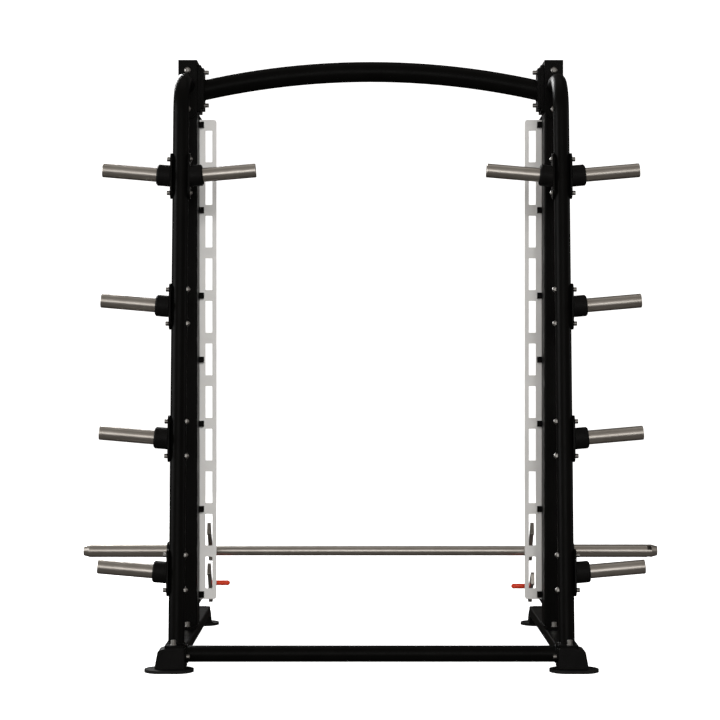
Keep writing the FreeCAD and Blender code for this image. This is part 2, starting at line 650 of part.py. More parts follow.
def build_braces():
    """Leaning brace tubes with their flanges, and the sleeves and pockets of the peg bolts."""
    lean = number("brace_lean")
    up = Rotation(AXIS_X, -lean).multVec(AXIS_Z)
    bend_y = f"({brace_y(BEND_START_Z)} + brace_bend * cos(brace_lean))"
    plate_face = f"({UPRIGHT_FRONT} - brace_plate)"
    upward = Rotation(AXIS_Z, Vector(0, -1, 0), AXIS_X, "ZXY")

    def run(name, radius, foot):
        """Straight part, bend and top part of the tube, as a full round bar."""
        straight = cylinder(f"{name}_straight", radius, f"({BEND_START_Z} - ({foot})) / cos(brace_lean)",
                            ("post_x", brace_y(f"({foot})"), foot), up)
        bend = doc.addObject("Part::Torus", f"{name}_bend")
        bind(bend, "Radius1", "brace_bend")
        bind(bend, "Radius2", radius)
        bind(bend, "Angle3", "90 - brace_lean")
        place(bend, ("post_x", bend_y, BEND_Z), upward)
        level = cylinder(f"{name}_level", radius, f"{plate_face} - {bend_y}", ("post_x", bend_y, "brace_top_z"), AXIS_Y)
        return fuse(name, straight, bend, level)

    foot_flange = rounded_box("brace_foot_flange",
                              ("post_x - rail_width / 2", "brace_flange_y - brace_flange_length / 2", RAIL_TOP),
                              ("rail_width", "brace_flange_length", "flange_thick"), AXIS_Z, "flange_corner")
    plate = box("brace_plate_body", (UPRIGHT_INNER, plate_face, "brace_bolt_low"),
                ("upright_width", "brace_plate", "upright_top + cap_thick - brace_bolt_low"))
    plate_end = cylinder("brace_plate_end", "upright_width / 2", "brace_plate",
                         ("upright_x", plate_face, "brace_bolt_low"), AXIS_Y)
    blank = fuse("brace_blank", run("brace_outside", "brace_radius", f"{RAIL_TOP} + flange_thick / 2"),
                 foot_flange, plate, plate_end)
    hollow = cut("brace_hollow", blank, run("brace_inside", "brace_radius - tube_wall", f"{RAIL_TOP} - 8"))

    sleeves = []
    holes = []
    for count in range(PEG_LEVELS):
        seat = "nut_seat_top" if count == PEG_LEVELS - 1 else "nut_seat"
        for side in "+-":
            spot = ("0", f"{side}peg_bolt_reach")
            tag = f"{count}_{'high' if side == '+' else 'low'}"
            sleeves.append(at_level(f"crush_sleeve_{tag}", cylinder(
                f"crush_{tag}", "crush_sleeve", f"{seat} + brace_radius", (f"-{seat}", *spot), AXIS_X), count))
            holes.append(at_level(f"peg_hole_{tag}", cylinder(
                f"peg_drill_{tag}", "ten_shank", "2 * brace_radius + 2", ("-brace_radius - 1", *spot), AXIS_X), count))
            holes.append(at_level(f"peg_pocket_{tag}", cylinder(
                f"peg_mill_{tag}", "nut_pocket", f"brace_radius + 5 - {seat}", ("-brace_radius - 5", *spot), AXIS_X),
                count))
    for count, side in enumerate("+-"):
        holes.append(cylinder(f"foot_hole_{count}", "twelve_shank + hole_gap", "flange_thick + 2",
                              ("brace_bolt_x", f"brace_flange_y {side} brace_bolt_reach", f"{RAIL_TOP} - 1")))
    for count, height in enumerate(("brace_bolt_high", "brace_bolt_low")):
        holes.append(cylinder(f"plate_hole_{count}", "ten_shank + hole_gap", "brace_plate + 2",
                              ("upright_x", f"{plate_face} - 1", height), AXIS_Y))
    node_pair("brace_tube", cut("brace_drilled", fuse("brace_sleeved", hollow, *sleeves), *holes))

    bolt = button_bolt("top_bolt", "brace_plate + tube_wall + weld_nut")
    node_group("brace_top_bolts", *[
        moved(f"top_bolt_{count}", bolt, ("upright_x", plate_face, height), -90, AXIS_Z)
        for count, height in enumerate(("brace_bolt_high", "brace_bolt_low"))
    ])


def build_uprights():
    """Rectangular uprights with base flanges, weld nuts and caps."""
    inner_low = (f"{UPRIGHT_INNER} + tube_wall", f"{UPRIGHT_FRONT} + tube_wall", RAIL_TOP)
    inner_size = ("upright_width - 2 * tube_wall", "upright_depth - 2 * tube_wall", f"upright_top - ({RAIL_TOP})")
    blank = rounded_box("upright_blank", (UPRIGHT_INNER, UPRIGHT_FRONT, RAIL_TOP),
                        ("upright_width", "upright_depth", f"upright_top - ({RAIL_TOP})"), AXIS_Z, "upright_corner")
    flange = rounded_box("upright_flange", ("post_x - rail_width / 2", "upright_y - upright_flange_length / 2",
                                            RAIL_TOP),
                         ("rail_width", "upright_flange_length", "flange_thick"), AXIS_Z, "flange_corner")
    bore = rounded_box("upright_bore", inner_low, inner_size, AXIS_Z, "upright_corner - tube_wall")
    nuts = []
    holes = []
    for count, height in enumerate(("brace_bolt_high", "brace_bolt_low")):
        nuts.append(cylinder(f"top_nut_{count}", "weld_nut", "weld_nut",
                             ("upright_x", f"{UPRIGHT_FRONT} + tube_wall", height), AXIS_Y))
        holes.append(cylinder(f"top_hole_{count}", "ten_shank", "weld_nut + tube_wall + 2",
                              ("upright_x", f"{UPRIGHT_FRONT} - 1", height), AXIS_Y))
    for count, (along, up) in enumerate(arch_spots()):
        nuts.append(cylinder(f"arch_nut_{count}", "weld_nut", "weld_nut",
                             (f"{UPRIGHT_INNER} + tube_wall", along, up), AXIS_X))
        holes.append(cylinder(f"arch_hole_{count}", "ten_shank", "weld_nut + tube_wall + 2",
                              (f"{UPRIGHT_INNER} - 1", along, up), AXIS_X))
    for count, side in enumerate("+-"):
        holes.append(cylinder(f"base_hole_{count}", "twelve_shank + hole_gap", "flange_thick + 2",
                              ("upright_bolt_x", f"upright_y {side} upright_bolt_reach", f"{RAIL_TOP} - 1")))
    tube = cut("upright_tube", fuse("upright_solid", blank, flange), bore)
    node_pair("upright", cut("upright_drilled", fuse("upright_nutted", tube, *nuts), *holes))

    lid = rounded_box("cap_lid", (UPRIGHT_INNER, UPRIGHT_FRONT, "upright_top"),
                      ("upright_width", "upright_depth", "cap_thick"), AXIS_Z, "upright_corner")
    plug = rounded_box("cap_plug_body", (f"{UPRIGHT_INNER} + tube_wall", f"{UPRIGHT_FRONT} + tube_wall",
                                         "upright_top - cap_plug"),
                       ("upright_width - 2 * tube_wall", "upright_depth - 2 * tube_wall", "cap_plug"),
                       AXIS_Z, "upright_corner - tube_wall")
    hollow = box("cap_hollow", (f"{UPRIGHT_INNER} + 2 * tube_wall", f"{UPRIGHT_FRONT} + 2 * tube_wall",
                                "upright_top - cap_plug"),
                 ("upright_width - 4 * tube_wall", "upright_depth - 4 * tube_wall", "cap_plug"))
    relief = cylinder("cap_relief", "weld_nut + hole_gap", "weld_nut + 4",
                      ("upright_x", f"{UPRIGHT_FRONT} + tube_wall", "brace_bolt_high"), AXIS_Y)
    node_group("upright_caps", cut("cap_body", fuse("cap_solid", lid, plug), hollow, relief))


def arch_spots():
    """Bolt places of an arch flange, front to back and upright."""
    return [("upright_y", f"arch_bolt_z {side} arch_bolt_reach") for side in "+-"]


def build_arch():
    """Arched crossmember with its end flanges and mount plates. Returns its bolts."""
    def hoop(name, radius):
        piece = doc.addObject("Part::Torus", name)
        bind(piece, "Radius1", "arch_curve")
        bind(piece, "Radius2", radius)
        bind(piece, "Angle3", "2 * arch_half_angle")
        start = Rotation(AXIS_Z, number("90 - arch_half_angle"))
        return place(piece, ("0", "upright_y", "arch_crest - arch_curve"), Rotation(AXIS_X, 90) * start)

    span = box("arch_span", ("-arch_end_x - arch_flange / 2", "upright_y - 100", "arch_end_z - 300"),
               ("2 * arch_end_x + arch_flange", "200", "600"))
    flange = rounded_box("arch_end", ("arch_end_x", "upright_y - arch_flange_width / 2",
                                      "arch_end_z - arch_flange_height / 2"),
                         ("arch_flange", "arch_flange_width", "arch_flange_height"), AXIS_X, "flange_corner")
    drills = []
    bolts = []
    bolt = socket_bolt("arch_bolt", "ten", "arch_flange + arch_plate + tube_wall + weld_nut", "arch_head_height")
    for count, (along, up) in enumerate(arch_spots()):
        drills.append(cylinder(f"arch_drill_{count}", "ten_shank + hole_gap", "arch_flange + arch_plate",
                               ("arch_end_x", along, up), AXIS_X))
        bolts.append(moved(f"arch_bolt_{count}", bolt, ("arch_end_x", along, up), 180, AXIS_Z))
    bar = fuse("arch_blank", common("arch_outside", hoop("arch_hoop", "arch_radius"), span), flange, mirrored(flange))
    node("arch_crossmember", cut("arch_drilled", bar, hoop("arch_bore", "arch_radius - tube_wall"), *drills,
                                 *[mirrored(drill) for drill in drills]))
    plate = rounded_box("arch_plate_blank", ("arch_end_x + arch_flange", "upright_y - arch_plate_width / 2",
                                             "arch_end_z - arch_plate_height / 2"),
                        ("arch_plate", "arch_plate_width", "arch_plate_height"), AXIS_X, "flange_corner")
    node_group("arch_mount_plates", cut("arch_plate_drilled", plate, *drills))
    return bolts


def build_latch_plates():
    """Slotted latch plates, the lugs that carry them and their screws."""
    blank = rounded_box("latch_blank", ("plate_inner", PLATE_FRONT, "plate_bottom"),
                        ("plate_outer - plate_inner", "plate_thick", "plate_top - plate_bottom"),
                        AXIS_Y, "plate_corner")
    slots = [
        rounded_box(f"slot_{count}", ("slot_x - slot_width / 2", f"{PLATE_FRONT} - 1",
                                      f"slot_first + {count} * slot_pitch"),
                    ("slot_width", "plate_thick + 2", "slot_height"), AXIS_Y, "slot_corner")
        for count in range(SLOT_COUNT)
    ]
    lugs = []
    screws = []
    holes = []
    for count, step in enumerate(LUG_STEPS):
        height = f"lug_first + {step} * slot_pitch"
        lug = box(f"lug_{count}", ("lug_inner", f"{PLATE_FRONT} - lug_thick", f"{height} - lug_height / 2"),
                  (f"{UPRIGHT_INNER} - lug_inner", "lug_thick", "lug_height"))
        hole = cylinder(f"lug_hole_{count}", "screw_shank", "lug_thick - 2",
                        ("lug_screw_x", f"{PLATE_FRONT} - lug_thick + 4", height), AXIS_Y)
        holes.append(cylinder(f"screw_hole_{count}", "screw_shank + hole_gap", "plate_thick + 2",
                              ("lug_screw_x", f"{PLATE_FRONT} - 1", height), AXIS_Y))
        shank = cylinder(f"screw_shank_{count}", "screw_shank", "plate_thick + lug_thick - 6",
                         ("lug_screw_x", f"{PLATE_FRONT} - lug_thick + 6", height), AXIS_Y)
        head = cone(f"screw_head_{count}", "screw_head", "screw_head * 0.6", "screw_head_height",
                    ("lug_screw_x", PLATE_BACK, height), AXIS_Y)
        key = hexagon(f"screw_key_{count}", "screw_shank * 0.8", "3",
                      ("lug_screw_x", f"{PLATE_BACK} + screw_head_height - 2", height), AXIS_Y)
        lugs.append(cut(f"lug_body_{count}", lug, hole))
        screws.append(cut(f"screw_{count}", fuse(f"screw_blank_{count}", shank, head), key))
    node_pair("latch_plate", cut("latch_slotted", blank, *slots, *holes))
    node_group("latch_plate_lugs", *lugs)
    node_group("lug_screws", *screws)


def build_rods():
    """Guide rods and the brackets that hold them behind the uprights."""
    rod = cylinder("rod_blank", "rod_radius", "rod_top - rod_bottom", ("post_x", "rod_y", "rod_bottom"))
    node_pair("guide_rod", rod)
    depth = "(plate_thick + bracket_plate)"
    plate_zone = box("latch_zone", ("plate_inner", PLATE_FRONT, "plate_bottom"),
                     ("plate_outer - plate_inner", "plate_thick", "plate_top - plate_bottom"))
    brackets = []
    for place_name, end, side in (("low", "plate_bottom", "-"), ("high", "plate_top", "+")):
        back = "+" if side == "-" else "-"
        foot = f"({end} {side} bracket_drop)"
        plate = outline_plate(f"bracket_{place_name}", "XZ_Plane", [
            ("bracket_inner", f"{end} {back} bracket_lap", 0),
            ("bracket_inner", end, 0),
            ("bracket_inner + bracket_taper", f"{end} {side} 40", 0),
            ("bracket_inner + bracket_taper", foot, 0),
            ("bracket_outer", foot, 0),
            ("bracket_outer", f"{end} {back} bracket_lap", 0),
        ], depth, ("0", f"{PLATE_FRONT} + {depth}", "0"))
        clamp_low = foot if side == "-" else f"{foot} - clamp_height"
        arm = box(f"arm_{place_name}", ("post_x - arm_width / 2", f"{PLATE_FRONT} + {depth}", clamp_low),
                  ("arm_width", f"rod_y - ({PLATE_FRONT} + {depth})", "clamp_height"))
        clamp = cylinder(f"clamp_{place_name}", "clamp_radius", "clamp_height", ("post_x", "rod_y", clamp_low))
        brackets.append(cut(f"bracket_cut_{place_name}", fuse(f"bracket_blank_{place_name}", plate, arm, clamp),
                            rod, plate_zone))
    node_group("rod_brackets", *brackets)


def build_pegs():
    """Weight pegs with their bosses, mount plates, plugs, bolts and nuts."""
    half = "(peg_plate_height / 2 - peg_plate_width / 2)"
    slab = fuse("peg_slab",
                box("peg_slab_middle", ("brace_radius", "-peg_plate_width / 2", f"-{half}"),
                    ("peg_plate_thick", "peg_plate_width", f"2 * {half}")),
                *[cylinder(f"peg_slab_end_{count}", "peg_plate_width / 2", "peg_plate_thick",
                           ("brace_radius", "0", f"{side}{half}"), AXIS_X) for count, side in enumerate(("", "-"))])
    spots = ("peg_bolt_reach", "-peg_bolt_reach")
    clear = [cylinder(f"slab_hole_{count}", "ten_shank + hole_gap", "peg_plate_thick",
                      ("brace_radius", "0", spot), AXIS_X) for count, spot in enumerate(spots)]
    wide = [cylinder(f"slab_pocket_{count}", "nut_pocket", "peg_plate_thick",
                     ("brace_radius", "0", spot), AXIS_X) for count, spot in enumerate(spots)]
    root = "(brace_radius + peg_plate_thick)"
    behind = box("behind_plate", (f"{root} - 60", "-60", "-60"), ("60", "120", "120"))

    def peg_set(name, reach, boss):
        """Peg, boss and plug beyond a mount plate, in the brace tube's frame."""
        def tilted(tag, piece):
            return moved(f"{name}_{tag}", piece, (root, "0", "0"), "-peg_tilt", AXIS_Y)
        outside = turned(f"{name}_outside", [("-12", "peg_root"), (boss, "peg_root"), (boss, "peg_radius"),
                                             (f"{reach} - peg_edge", "peg_radius"),
                                             (reach, "peg_radius - peg_edge")])
        bore = cylinder(f"{name}_bore", "peg_radius - peg_wall", f"{reach} + 20", ("-14", "0", "0"), AXIS_X)
        collar = turned(f"{name}_collar", [("-12", "boss_radius"), (f"{boss} - boss_bevel", "boss_radius"),
                                           (boss, "boss_radius - boss_bevel")])
        plug = cylinder(f"{name}_plug_body", "peg_radius - peg_wall", "plug_thick",
                        (f"{reach} - plug_recess - plug_thick", "0", "0"), AXIS_X)
        solid_peg = tilted("solid", outside)
        peg = cut(f"{name}_peg", tilted("tube", cut(f"{name}_tube_body", outside, bore)), behind)
        ring_piece = cut(f"{name}_boss", tilted("collar_placed", collar), behind, solid_peg)
        return peg, ring_piece, tilted("plug", plug)

    outer = peg_set("outer", "peg_reach", "boss_reach")
    inner = [moved(f"inner_turned_{count}", piece, turn=180, axis=AXIS_Z)
             for count, piece in enumerate(peg_set("inner", "inner_peg_reach", "inner_boss_reach"))]
    outer_plate = cut("outer_peg_plate", slab, *clear)
    inner_plate = moved("inner_peg_plate", cut("inner_slab", slab, *wide), turn=180, axis=AXIS_Z)

    shank = f"({root} + nut_seat + 8)"
    long_shank = f"({root} + nut_seat_top + 8)"
    bolt = socket_bolt("peg_bolt", "ten", shank, "ten_head_height")
    long_bolt = socket_bolt("long_peg_bolt", "ten", long_shank, "ten_head_height")
    nut = cut("nut_body", fuse("nut_blank", hexagon("nut_hexagon", "nut_corner", "nut_height", ("0", "0", "0"), AXIS_X),
                               sphere("nut_ball", "nut_dome", ("nut_length - nut_dome", "0", "0"))),
              cylinder("nut_thread", "ten_shank", "8.5", ("0", "0", "0"), AXIS_X))

    pieces = {"bosses": [], "plates": [], "plugs": [], "bolts": [], "nuts": []}
    for count in range(PEG_LEVELS):
        top = count == PEG_LEVELS - 1
        node_pair_at_level(f"weight_peg_{count + 1}", outer[0], count)
        pieces["bosses"].append(at_level(f"boss_{count}", outer[1], count))
        pieces["plugs"].append(at_level(f"plug_{count}", outer[2], count))
        pieces["plates"].append(at_level(f"peg_plate_{count}", outer_plate, count))
        if top:
            node_pair_at_level("weight_peg_inner", inner[0], count)
            pieces["bosses"].append(at_level("boss_inner", inner[1], count))
            pieces["plugs"].append(at_level("plug_inner", inner[2], count))
            pieces["plates"].append(at_level("peg_plate_inner", inner_plate, count))
        seat = "nut_seat_top" if top else "nut_seat"
        for side, spot in enumerate(spots):
            tag = f"{count}_{side}"
            standing_bolt = moved(f"peg_bolt_{tag}", long_bolt if top else bolt, (root, "0", spot))
            standing_nut = moved(f"peg_nut_{tag}", nut, (f"-{seat}", "0", spot), 180, AXIS_Z)
            pieces["bolts"].append(at_level(f"placed_bolt_{tag}", standing_bolt, count))
            pieces["nuts"].append(at_level(f"placed_nut_{tag}", standing_nut, count))
    node_group("peg_bosses", *pieces["bosses"])
    node_group("peg_mount_plates", *pieces["plates"])
    node_group("peg_end_plugs", *pieces["plugs"])
    node_group("peg_bolts", *pieces["bolts"])
    node_group("peg_nuts", *pieces["nuts"])


def node_pair_at_level(name, piece, count):
    node_pair(name, at_level(f"{name}_placed", piece, count))


def latch_hook(name, *extras, heel_size, bore):
    """Latch hook in its latched position, its pivot at the origin, its inner face at X = 0."""
    arm = outline_plate(f"{name}_arm", "YZ_Plane", [(across, up, radius) for across, up, radius in HOOK_OUTLINE],
                        "hook_thick", ("0", "0", "0"))
    heel = cylinder(f"{name}_heel", heel_size, "hook_thick", ("0", "0", "0"), AXIS_X)
    hole = cylinder(f"{name}_hole", bore, "80", ("-10", "0", "0"), AXIS_X)
    return cut(f"{name}_hook", fuse(f"{name}_blank", arm, heel, *extras), hole)


def build_bar():
    """The bar with its hooks, collars, sleeves, bushes and retaining rings."""
    line = ("0", "bar_y", "bar_z")
    shaft = turned("shaft", [("-journal_end", "journal_radius"), ("-shoulder_x", "journal_radius"),
                             ("-shoulder_x", "grip_radius"), ("shoulder_x", "grip_radius"),
                             ("shoulder_x", "journal_radius"), ("journal_end", "journal_radius")])
    node("bar_shaft", moved("shaft_placed", shaft, line))
    hub = cylinder("hook_hub", "hub_radius", "hub_end - hook_inner - hook_thick", ("hook_thick", "0", "0"), AXIS_X)
    hook = latch_hook("bar_hook", hub, heel_size="heel_radius", bore="grip_radius")
    node_pair("bar_hook", moved("bar_hook_placed", hook, ("hook_inner", "bar_y", "bar_z"), "-latch_throw"))
    collar = cut("collar_ring", turned("collar", [
        ("collar_start", "collar_radius - 2"), ("collar_start + 2", "collar_radius"),
        ("shoulder_x - 2", "collar_radius"), ("shoulder_x", "collar_radius - 2")]),
        cylinder("collar_bore", "grip_radius", "40", ("collar_start - 10", "0", "0"), AXIS_X))
    node_group("bar_collars", moved("collar_placed", collar, line))

    outline = turned("sleeve_outline", [
        ("sleeve_start", "sleeve_hub - 2"),
        ("sleeve_start + 2", "sleeve_hub"),
        ("stop_flange_x - stop_flange_thick", "sleeve_hub"),
        ("stop_flange_x - stop_flange_thick", "stop_flange"),
        ("stop_flange_x - 4", "stop_flange"),
        ("stop_flange_x", "stop_flange - 4"),
        ("stop_flange_x", "sleeve_radius"),
        ("bevel_start", "sleeve_radius"),
        ("bar_half", "bevel_tip"),
    ])
    bore = cylinder("sleeve_hole", "sleeve_bore", "sleeve_wall_x - sleeve_start", ("sleeve_start", "0", "0"), AXIS_X)
    for side, angles in (("right", RIGHT_WINDOWS), ("left", LEFT_WINDOWS)):
        windows = [
            moved(f"window_{side}_{count}", box(f"window_box_{side}_{count}",
                                                ("window_start", "-sleeve_radius - 5", "-window_width / 2"),
                                                ("window_length", "sleeve_radius", "window_width")),
                  turn=-angle, axis=AXIS_X)
            for count, angle in enumerate(angles)
        ]
        sleeve = moved(f"sleeve_placed_{side}", cut(f"sleeve_cut_{side}", outline, bore, *windows), line)
        node(f"bar_sleeve_{side}", sleeve if side == "right" else mirrored(sleeve))
    bushes = [moved(f"bush_placed_{count}", ring(f"bush_{count}", "sleeve_bore", "journal_radius + running_gap",
                                                 start, "bush_length"), line)
              for count, start in enumerate(("inner_bush_x", "outer_bush_x"))]
    node("sleeve_bushes_right", group("bushes_right", *bushes))
    node("sleeve_bushes_left", group("bushes_left", *[mirrored(bush) for bush in bushes]))
    retainer = ring("retainer", "retainer_radius", "journal_radius", "outer_bush_x + bush_length + end_float",
                    "retainer_thick")
    node_group("sleeve_retainers", moved("retainer_placed", retainer, line))


def rod_block(name, low, height):
    """Rounded block round a guide rod."""
    return rounded_box(name, ("block_inner", "rod_y - block_depth / 2", low), ("block_width", "block_depth", height),
                       AXIS_Z, "block_corner")


def build_carriages():
    """Carriages with their linear bushes and bar bearings."""
    block = rod_block("carriage_block", "carriage_bottom", "carriage_height")
    saddle = cylinder("saddle", "saddle_radius", "block_width", ("block_inner", "bar_y", "bar_z"), AXIS_X)
    web = box("saddle_web", ("block_inner", "rod_y + block_depth / 2 - 1", "bar_z - saddle_radius"),
              ("block_width", "bar_y - rod_y - block_depth / 2 + 1", "2 * saddle_radius"))
    rod_hole = cylinder("carriage_rod_hole", "linear_radius", "carriage_height", ("post_x", "rod_y", "carriage_bottom"))
    bar_hole = cylinder("carriage_bar_hole", "bearing_radius", "block_width", ("block_inner", "bar_y", "bar_z"), AXIS_X)
    node_pair("carriage", cut("carriage_bored", fuse("carriage_blank", block, saddle, web), rod_hole, bar_hole))
    bushes = []
    for count, low in enumerate(("carriage_bottom + 1", "carriage_bottom + carriage_height - 1 - linear_length")):
        outside = cylinder(f"linear_{count}", "linear_radius", "linear_length", ("post_x", "rod_y", low))
        inside = cylinder(f"linear_bore_{count}", "rod_radius + running_gap", "linear_length", ("post_x", "rod_y", low))
        bushes.append(cut(f"linear_bush_{count}", outside, inside))
    node_group("linear_bushes", *bushes)
    bearing = ring("bearing", "bearing_radius", "grip_radius + running_gap", "post_x - bearing_length / 2",
                   "bearing_length")
    node_group("bar_bearings", moved("bearing_placed", bearing, ("0", "bar_y", "bar_z")))


def build_stops():
    """Safety stops: block, pivot pin, bumper, hook and handle."""
    block = rod_block("stop_block_body", "stop_bottom", "stop_top - stop_bottom")
    lobe = cylinder("stop_lobe", "lobe_radius", "lobe_width", ("block_inner", "bar_y", "stop_z"), AXIS_X)
    web = box("stop_web", ("block_inner", "rod_y + block_depth / 2 - 1", "stop_z - lobe_radius"),
              ("lobe_width", "bar_y - rod_y - block_depth / 2 + 1", "2 * lobe_radius"))
    rod_hole = cylinder("stop_rod_hole", "rod_radius", "200", ("post_x", "rod_y", "stop_bottom - 20"))
    pin_hole = cylinder("stop_pin_hole", "pin_root", "lobe_width", ("block_inner", "bar_y", "stop_z"), AXIS_X)
    node_pair("stop_block", cut("stop_block_bored", fuse("stop_blank", block, lobe, web), rod_hole, pin_hole))

    pin = turned("pin", [
        ("hook_inner - side_gap - pin_head_height", "pin_head - 2"),
        ("hook_inner - side_gap - pin_head_height + 2", "pin_head"),
        ("hook_inner - side_gap", "pin_head"),
        ("hook_inner - side_gap", "pin_radius"),
        ("hook_inner + hook_thick + side_gap", "pin_radius"),
        ("hook_inner + hook_thick + side_gap", "pin_shoulder"),
        ("block_inner", "pin_shoulder"),
        ("block_inner", "pin_root"),
        ("block_inner + lobe_width", "pin_root"),
    ])
    node_group("stop_pivot_pins", moved("pin_placed", pin, ("0", "bar_y", "stop_z")))
    bumper = cut("bumper_ring",
                 cylinder("bumper_body", "bumper_radius", "bumper_height", ("post_x", "rod_y", "stop_top")),
                 cylinder("bumper_bore", "rod_radius + hole_gap", "bumper_height", ("post_x", "rod_y", "stop_top")))
    node_group("stop_bumpers", bumper)

    spot = ("handle_y", "handle_z")
    lug = cylinder("handle_lug_body", "handle_lug", "hook_thick", ("0", *spot), AXIS_X)
    stud = cylinder("handle_stud", "stud_radius", "stud_length + hook_thick / 2", ("-stud_length", *spot), AXIS_X)
    hook = latch_hook("stop_hook", lug, stud, heel_size="stop_heel_radius", bore="pin_radius + running_gap")
    grip = turned("grip", [
        ("-handle_length", "handle_radius - handle_edge"),
        ("-handle_length + handle_edge * 0.3", "handle_radius - handle_edge * 0.3"),
        ("-handle_length + handle_edge", "handle_radius"),
        ("0", "handle_radius"),
    ])
    bore = cylinder("grip_bore", "stud_radius", "stud_length", ("-stud_length", "0", "0"), AXIS_X)
    handle = moved("handle_body", cut("grip_bored", grip, bore), ("0", *spot))
    for side, turn in (("right", "-stop_turn_right"), ("left", "-stop_turn_left")):
        for name, piece in (("hook", hook), ("handle", handle)):
            placed = moved(f"stop_{name}_placed_{side}", piece, ("hook_inner", "bar_y", "stop_z"), turn)
            node(f"stop_{name}_{side}", placed if side == "right" else mirrored(placed))


base_bolts = build_rails()
build_feet()
build_braces()
build_uprights()
arch_bolts = build_arch()
node_group("frame_bolts", *base_bolts, *arch_bolts)
build_latch_plates()
build_rods()
build_pegs()
build_bar()
build_carriages()
build_stops()
doc.recompute()

for piece in doc.Objects:
    if "Invalid" in piece.State or "Error" in piece.State:
        raise RuntimeError(f"{piece.Name} did not build: {piece.State}")
os.makedirs("parts", exist_ok=True)
for name, piece in nodes:
    if piece.Label != name:
        raise RuntimeError(f"{name} has no label of its own")
    if piece.Shape.isNull() or not piece.Shape.isValid():
        raise RuntimeError(f"{name} is not a valid shape")
    piece.Shape.exportStep(f"parts/{name}.step")
    print(f"{name}: {len(piece.Shape.Solids)} solids, {piece.Shape.Volume / 1000:.1f} cm3")
print(f"{len(nodes)} sub-parts")
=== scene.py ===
"""Looks of the smith machine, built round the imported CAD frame.

Metres. +X runs along the bar, +Y points to the lifter and +Z is up. The photo looks along +Y.
"""
import json
import math
import random

import bmesh
import bpy
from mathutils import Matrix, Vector


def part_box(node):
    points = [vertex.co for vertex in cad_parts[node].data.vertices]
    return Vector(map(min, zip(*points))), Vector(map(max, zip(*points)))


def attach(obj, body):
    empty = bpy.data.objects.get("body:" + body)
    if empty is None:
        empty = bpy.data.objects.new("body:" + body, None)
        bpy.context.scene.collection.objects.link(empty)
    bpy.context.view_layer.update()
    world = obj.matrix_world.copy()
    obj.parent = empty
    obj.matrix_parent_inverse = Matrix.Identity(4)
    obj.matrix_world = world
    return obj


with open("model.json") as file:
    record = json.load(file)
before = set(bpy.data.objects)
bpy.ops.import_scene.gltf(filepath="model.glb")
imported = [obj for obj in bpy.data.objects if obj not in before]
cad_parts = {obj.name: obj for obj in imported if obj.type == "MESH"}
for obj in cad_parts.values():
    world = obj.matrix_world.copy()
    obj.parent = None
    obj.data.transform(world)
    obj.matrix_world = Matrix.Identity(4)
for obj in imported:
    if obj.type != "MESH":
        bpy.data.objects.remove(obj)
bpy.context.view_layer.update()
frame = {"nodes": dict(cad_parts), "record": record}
random.seed(7)
bpy.context.scene.view_settings.view_transform = "Standard"

FLOOR_GLOW = 1.0
# Sizes of the frame that the weld beads follow, in metres.
POST_X = 0.682
FLANGE_THICK = 0.010
BRACE_MIDDLE = (-0.4295, 1.110)
BRACE_LEAN = math.radians(5.535)
BRACE_RADIUS = 0.0285
UPRIGHT_X = 0.680
UPRIGHT_HALF = (0.0345, 0.060)
UPRIGHT_CORNER = 0.007
CROSS_MIDDLE = (-0.550, 0.054)
CROSS_RADIUS = 0.0285
CROSS_FLANGE = 0.006
ARCH_RADIUS = 0.0375
ARCH_CURVE = 2.870
ARCH_CREST = 2.156
ARCH_FLANGE = 0.011
# Radius of a bead, and how far apart its rings lie on a rectangular path.
BEAD = 0.0035
BEAD_STEP = 0.0022
# Outer face of the sleeves' painted stop flanges.
FLANGE_FACE = 0.7805
# Darker and lighter colour of the bare turned steel.
TURNED_STEEL = ((0.58, 0.545, 0.50), (0.66, 0.625, 0.58))
# How bright the sky behind the machine is, against the sky in front of it.
BACK_SKY = 0.25
# Height of a direction, from 0 straight down to 1 straight up, and the studio's colour there.
SKY = [
    (0.10, (0.105, 0.097, 0.09)),
    (0.44, (0.085, 0.077, 0.07)),
    (0.52, (0.26, 0.245, 0.23)),
    (0.68, (0.35, 0.33, 0.31)),
    (0.92, (0.22, 0.205, 0.19)),
]


# ---------------------------------------------------------------- material helpers

def new_material(name):
    """An empty node material and its Principled shader."""
    material = bpy.data.materials.new(name)
    material.use_nodes = True
    tree = material.node_tree
    tree.nodes.clear()
    output = tree.nodes.new("ShaderNodeOutputMaterial")
    shader = tree.nodes.new("ShaderNodeBsdfPrincipled")
    tree.links.new(shader.outputs["BSDF"], output.inputs["Surface"])
    return material, tree, shader


def coordinates(tree, stretch=(1, 1, 1)):
    """Object coordinates, scaled along each axis."""
    source = tree.nodes.new("ShaderNodeTexCoord")
    mapping = tree.nodes.new("ShaderNodeMapping")
    mapping.inputs["Scale"].default_value = stretch
    tree.links.new(source.outputs["Object"], mapping.inputs["Vector"])
    return mapping.outputs["Vector"]


def noise(tree, vector, scale, detail=4, roughness=0.55):
    """A noise value, about 0.3 to 0.7 over most of a surface."""
    node = tree.nodes.new("ShaderNodeTexNoise")
    node.inputs["Scale"].default_value = scale
    node.inputs["Detail"].default_value = detail
    node.inputs["Roughness"].default_value = roughness
    tree.links.new(vector, node.inputs["Vector"])
    return node.outputs["Fac"]


def spread(tree, value, low, high):
    """Maps a noise value's middle range to low and high."""
    node = tree.nodes.new("ShaderNodeMapRange")
    node.inputs["From Min"].default_value = 0.3
    node.inputs["From Max"].default_value = 0.7
    node.inputs["To Min"].default_value = low
    node.inputs["To Max"].default_value = high
    tree.links.new(value, node.inputs["Value"])
    return node.outputs["Result"]


